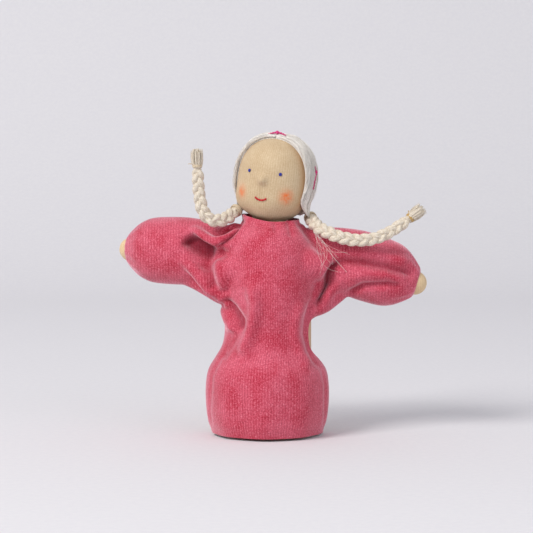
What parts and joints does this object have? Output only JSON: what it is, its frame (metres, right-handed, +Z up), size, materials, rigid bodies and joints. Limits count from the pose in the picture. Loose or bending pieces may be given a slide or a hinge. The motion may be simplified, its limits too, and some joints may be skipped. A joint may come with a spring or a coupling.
{
  "type": "peg doll",
  "caption": "Small doll: a turned wooden peg in a velour gown, with a stuffed head that turns on the peg's pin, wool hair with plaits, and stuffed arms that swing.",
  "frame": {"origin": "middle of the flat foot of the peg, on the surface that the doll stands on", "axes": "+Z up along the peg, the gown's front towards -Y, the doll's left hand towards +X"},
  "size_m": [0.1202, 0.0465, 0.1184],
  "materials": {
    "beech": "smooth, unvarnished",
    "velour": "ribbed pile",
    "jersey": "fine rib knit",
    "hair_wool": "combed wool",
    "plait_cotton": "soft cotton yarn",
    "pink_wool": "wool yarn",
    "ochre_thread": "cotton thread",
    "red_thread": "cotton thread",
    "navy_thread": "cotton thread",
    "linen": "linen cord",
    "stuffing": "wool stuffing"
  },
  "bodies": {
    "body": {"peg": "beech", "arm_cord": "linen", "gown_front": "velour", "gown_back_left": "velour", "gown_back_right": "velour", "neck_thread": "red_thread", "left_sleeve_head": "velour", "right_sleeve_head": "velour"},
    "head": {"head_core": "stuffing", "nose_bead": "stuffing", "head_skin": "jersey", "head_tie": "linen", "left_eye": "navy_thread", "right_eye": "navy_thread", "mouth": "red_thread", "hair": "hair_wool", "crown_knot": "pink_wool", "left_side_knot": "pink_wool", "right_side_knot": "pink_wool", "left_plait": "plait_cotton", "left_root_tie": "ochre_thread", "left_plait_tie": "ochre_thread", "left_plait_tuft": "plait_cotton", "right_plait": "plait_cotton", "right_root_tie": "ochre_thread", "right_plait_tie": "ochre_thread", "right_plait_tuft": "plait_cotton"},
    "left_arm": {"left_sleeve": "velour", "left_arm": "stuffing", "left_hand": "jersey", "left_wrist_thread": "red_thread"},
    "right_arm": {"right_sleeve": "velour", "right_arm": "stuffing", "right_hand": "jersey", "right_wrist_thread": "red_thread"}
  },
  "joints": [
    {"name": "head_turn", "type": "hinge", "parent": "body", "child": "head", "pos_m": [0, 0, 0.082], "axis": [0, 0, 1], "range_deg": [-25, 30], "deforming": ["left_plait", "left_root_tie", "left_plait_tie", "left_plait_tuft", "right_plait", "right_root_tie", "right_plait_tie", "right_plait_tuft"]},
    {"name": "left_arm_swing", "type": "hinge", "parent": "body", "child": "left_arm", "pos_m": [0.0195, 0, 0.071], "axis": [0, -1, 0], "range_deg": [-20, 4], "deforming": ["left_sleeve_head"]},
    {"name": "right_arm_swing", "type": "hinge", "parent": "body", "child": "right_arm", "pos_m": [-0.0195, 0, 0.071], "axis": [0.4067, 0.9135, 0], "range_deg": [-35, 7], "deforming": ["right_sleeve_head"]}
  ]
}
